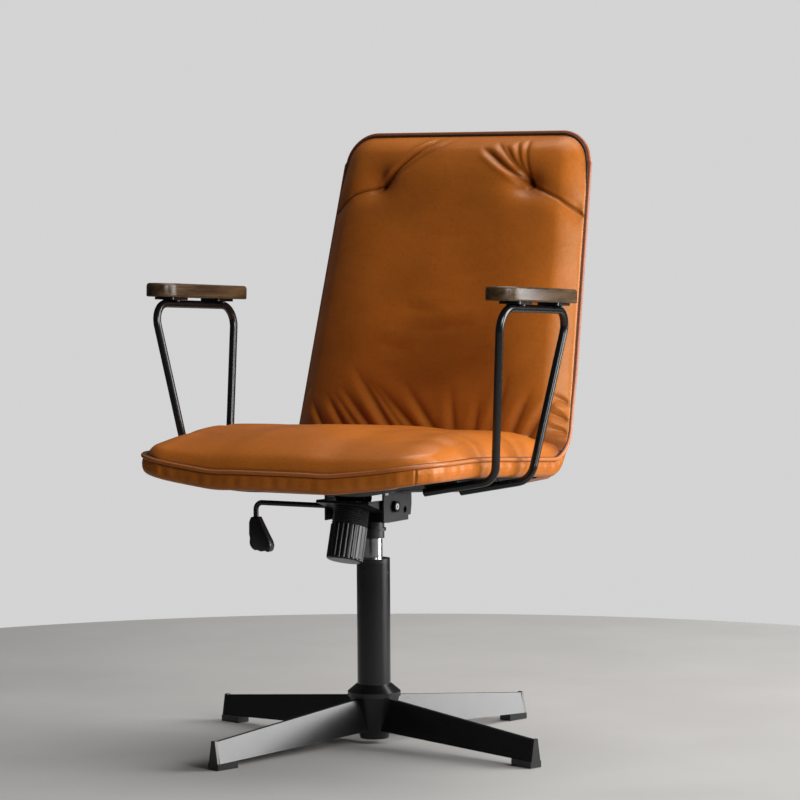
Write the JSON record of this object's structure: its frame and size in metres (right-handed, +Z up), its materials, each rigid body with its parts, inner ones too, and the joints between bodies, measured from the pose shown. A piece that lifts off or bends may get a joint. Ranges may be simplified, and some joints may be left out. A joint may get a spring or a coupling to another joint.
{
  "type": "office chair",
  "caption": "Low-back office chair in tan leather with wooden arm pads, a swivel gas-lift column, a tilting seat and a flat-legged base on fixed feet",
  "frame": {"origin": "on the floor under the axis of the column", "axes": "+Z up along the column, the seat faces -Y, +X is the sitter's left"},
  "size_m": [0.6472, 0.6392, 0.919],
  "materials": {
    "black_metal": "satin",
    "dark_metal": "satin",
    "chrome": "polished",
    "steel": "satin",
    "zinc": "satin",
    "black_plastic": "satin",
    "black_rubber": "matte",
    "walnut": "satin",
    "plywood": "matte",
    "tan_leather": "satin",
    "brown_leather": "satin",
    "black_cloth": "matte"
  },
  "bodies": {
    "base": {"base_hub": "black_metal", "leg_left": "black_metal", "leg_rear": "black_metal", "leg_right": "black_metal", "leg_front": "black_metal", "foot_left": "black_plastic", "foot_rear": "black_plastic", "foot_right": "black_plastic", "foot_front": "black_plastic", "column_tube": "black_metal", "column_bush": "black_plastic", "tube_floor": "steel", "bearing_lower_washer": "steel", "bearing_balls": "steel"},
    "spindle": {"bearing_upper_washer": "steel", "rubber_buffer": "black_rubber", "piston_rod": "steel", "gas_piston": "steel", "rod_clip": "steel"},
    "lift": {"gas_cylinder": "chrome", "cylinder_guide": "black_plastic", "taper_socket": "dark_metal", "mech_housing": "dark_metal", "pivot_bolts": "zinc", "pivot_nuts": "zinc", "pivot_spacers": "zinc", "bellows": "black_rubber", "tension_spring": "steel"},
    "valve": {"valve_pin": "steel"},
    "lever_pivot": {"lever_bush": "black_plastic"},
    "lever": {"lever_rod": "black_metal", "lever_paddle": "black_plastic"},
    "seat": {"seat_plate": "dark_metal", "plate_bolts": "zinc", "seat_board": "plywood", "dust_cover": "black_cloth", "seat_boxing": "tan_leather", "seat_cushion": "tan_leather", "back_board": "plywood", "back_cushion": "tan_leather", "rear_cover": "tan_leather", "back_bar": "dark_metal", "bar_rivets": "steel", "welt": "brown_leather", "arm_rod_left": "black_metal", "arm_rod_right": "black_metal", "arm_plate_left": "black_metal", "arm_plate_right": "black_metal", "arm_screws": "zinc", "pad_tabs": "black_metal", "pad_screws": "zinc", "arm_pad_left": "walnut", "arm_pad_right": "walnut"},
    "bolt": {"tension_bolt": "steel"},
    "knob": {"tension_knob": "black_plastic", "knob_insert": "steel"}
  },
  "joints": [
    {"name": "swivel", "type": "hinge", "parent": "base", "child": "spindle", "pos_m": [0, 0, 0.045], "axis": [0, 0, 1], "continuous": true},
    {"name": "height", "type": "slide", "parent": "spindle", "child": "lift", "axis": [0, 0, 1], "range_m": [-0.025, 0.075]},
    {"name": "tilt", "type": "hinge", "parent": "lift", "child": "seat", "pos_m": [0, -0.0243, 0.361], "axis": [-1, 0, 0], "range_deg": [0, 12], "stiffness_Nm_per_rad": 150, "springref_deg": -17.19, "deforming": ["bellows", "tension_spring"]},
    {"name": "bolt_swing", "type": "hinge", "parent": "seat", "child": "bolt", "pos_m": [0, -0.05732, 0.3753], "axis": [-1, 0, 0], "range_deg": [-12, 0]},
    {"name": "knob_turn", "type": "hinge", "parent": "bolt", "child": "knob", "pos_m": [0, -0.062, 0.36], "axis": [0, 0.2924, 0.9563], "range_deg": [-720, 720]},
    {"name": "lever_lift", "type": "hinge", "parent": "lift", "child": "lever_pivot", "pos_m": [-0.0435, 0.0074, 0.354], "axis": [0, 1, 0], "range_deg": [0, 6], "stiffness_Nm_per_rad": 2, "springref_deg": -11.46},
    {"name": "lever_pull", "type": "slide", "parent": "lever_pivot", "child": "lever", "axis": [-1, 0, 0], "range_m": [0, 0.012]},
    {"name": "valve_press", "type": "slide", "parent": "lift", "child": "valve", "axis": [0, 0, -1], "range_m": [0, 0.005]}
  ],
  "couplings": [
    {"joint": "bolt_swing", "follows": "tilt", "ratio": -1},
    {"joint": "valve_press", "follows": "lever_lift", "m_per_rad": 0.047}
  ]
}
